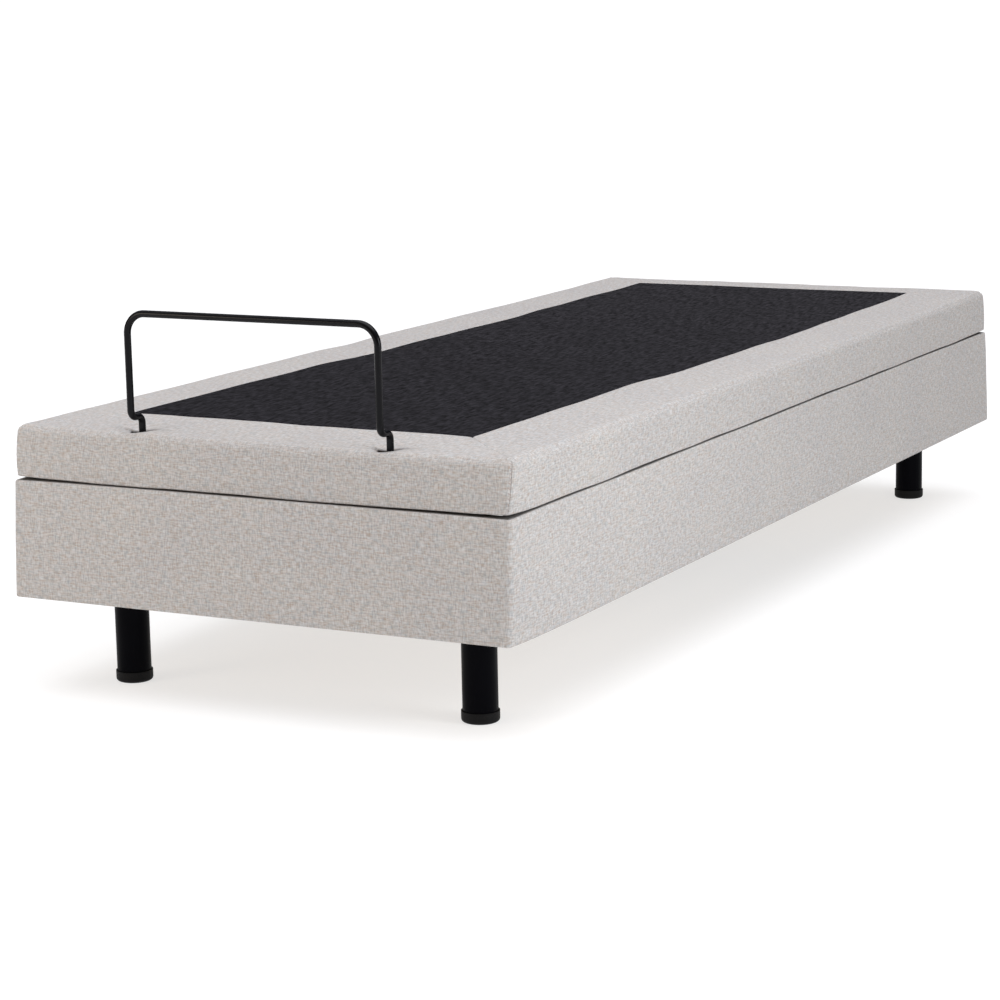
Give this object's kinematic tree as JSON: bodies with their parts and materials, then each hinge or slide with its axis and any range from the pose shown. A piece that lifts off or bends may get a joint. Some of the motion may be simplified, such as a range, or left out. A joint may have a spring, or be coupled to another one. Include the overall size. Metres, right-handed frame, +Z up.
{
  "type": "adjustable bed base",
  "caption": "Upholstered adjustable bed base on round legs, with a motorised deck of hinged sections, dark anti-slip panel and mattress retainer bar.",
  "frame": {"origin": "on the floor, below the middle of the bed", "axes": "X across the bed, +Y towards the head end, +Z up"},
  "size_m": [0.8, 2, 0.561],
  "materials": {
    "linen_fabric": "matte",
    "grip_fabric": "matte",
    "foam": "matte",
    "plywood": "matte",
    "pine": "matte",
    "black_metal": "satin",
    "black_plastic": "satin",
    "frame_steel": "satin",
    "bright_steel": "satin",
    "aluminium": "satin",
    "grey_plastic": "matte",
    "nylon": "satin",
    "bumper_rubber": "matte",
    "lead_sheath": "matte"
  },
  "bodies": {
    "base": {"side_rail_left": "pine", "side_rail_right": "pine", "foot_rail": "pine", "head_rail": "pine", "corner_plates": "plywood", "surround_cover": "linen_fabric", "leg_foot_left": "black_metal", "leg_foot_right": "black_metal", "leg_head_left": "black_metal", "leg_head_right": "black_metal", "foot_caps": "black_plastic", "leg_bolts": "bright_steel", "frame_rails": "frame_steel", "frame_crossbars": "frame_steel", "frame_bolts": "bright_steel", "rest_bumpers": "bumper_rubber", "shaft_bearings": "grey_plastic", "actuator_brackets": "bright_steel", "actuator_gearboxes": "grey_plastic", "actuator_tubes": "aluminium", "actuator_motors": "grey_plastic", "control_box": "grey_plastic", "control_lid": "black_plastic", "power_inlet": "black_plastic", "motor_leads": "lead_sheath", "seat_rails": "frame_steel", "seat_crossbars": "frame_steel", "seat_board": "plywood", "seat_foam": "foam", "seat_cover": "linen_fabric", "seat_grip": "grip_fabric", "hinge_pins": "bright_steel"},
    "back": {"back_rails": "frame_steel", "back_crossbars": "frame_steel", "back_board": "plywood", "back_foam": "foam", "back_cover": "linen_fabric", "back_grip": "grip_fabric"},
    "thigh": {"thigh_rails": "frame_steel", "thigh_crossbars": "frame_steel", "thigh_board": "plywood", "thigh_foam": "foam", "thigh_cover": "linen_fabric", "thigh_grip": "grip_fabric", "knee_pins": "bright_steel"},
    "calf": {"calf_rails": "frame_steel", "calf_crossbars": "frame_steel", "calf_board": "plywood", "calf_foam": "foam", "calf_cover": "linen_fabric", "calf_grip": "grip_fabric", "retainer_sockets": "bright_steel"},
    "retainer": {"retainer_bar": "black_metal"},
    "back_arm": {"back_lift_arm": "frame_steel"},
    "back_roller_pair": {"back_rollers": "nylon"},
    "back_rod": {"back_push_rod": "bright_steel"},
    "leg_arm": {"leg_lift_arm": "frame_steel"},
    "leg_roller_pair": {"leg_rollers": "nylon"},
    "leg_rod": {"leg_push_rod": "bright_steel"},
    "links": {"link_bars": "bright_steel"}
  },
  "joints": [
    {"name": "back_lift", "type": "hinge", "parent": "base", "child": "back", "pos_m": [0, 0.275, 0.3095], "axis": [1, 0, 0], "range_deg": [0, 60]},
    {"name": "thigh_lift", "type": "hinge", "parent": "base", "child": "thigh", "pos_m": [0, 0.03, 0.3095], "axis": [-1, 0, 0], "range_deg": [0, 35]},
    {"name": "calf_level", "type": "hinge", "parent": "thigh", "child": "calf", "pos_m": [0, -0.36, 0.3095], "axis": [1, 0, 0], "range_deg": [0, 35]},
    {"name": "link_swing", "type": "hinge", "parent": "base", "child": "links", "pos_m": [0, -0.13, 0.275], "axis": [-1, 0, 0], "range_deg": [0, 35]},
    {"name": "back_arm_turn", "type": "hinge", "parent": "base", "child": "back_arm", "pos_m": [0, 0.315, 0.2495], "axis": [1, 0, 0], "range_deg": [0, 60.89]},
    {"name": "back_rod_slide", "type": "slide", "parent": "base", "child": "back_rod", "axis": [0, 1, 0], "range_m": [0, 0.07524]},
    {"name": "back_roller_spin", "type": "hinge", "parent": "back_arm", "child": "back_roller_pair", "pos_m": [0, 0.61352, 0.2793], "axis": [1, 0, 0], "continuous": true},
    {"name": "leg_arm_turn", "type": "hinge", "parent": "base", "child": "leg_arm", "pos_m": [0, -0.12, 0.2345], "axis": [-1, 0, 0], "range_deg": [0, 73.23]},
    {"name": "leg_rod_slide", "type": "slide", "parent": "base", "child": "leg_rod", "axis": [0, -1, 0], "range_m": [0, 0.08026]},
    {"name": "leg_roller_spin", "type": "hinge", "parent": "leg_arm", "child": "leg_roller_pair", "pos_m": [0, -0.25264, 0.2793], "axis": [1, 0, 0], "continuous": true},
    {"name": "retainer_pull", "type": "slide", "parent": "calf", "child": "retainer", "axis": [0, 0, 1], "range_m": [0, 0.034]}
  ],
  "couplings": [
    {"joint": "calf_level", "follows": "thigh_lift", "ratio": 1},
    {"joint": "link_swing", "follows": "thigh_lift", "ratio": 1},
    {"joint": "back_arm_turn", "follows": "back_lift", "ratio": 1.0149},
    {"joint": "back_rod_slide", "follows": "back_lift", "m_per_rad": 0.071844},
    {"joint": "leg_arm_turn", "follows": "thigh_lift", "ratio": 2.0923},
    {"joint": "leg_rod_slide", "follows": "thigh_lift", "m_per_rad": 0.13138}
  ]
}
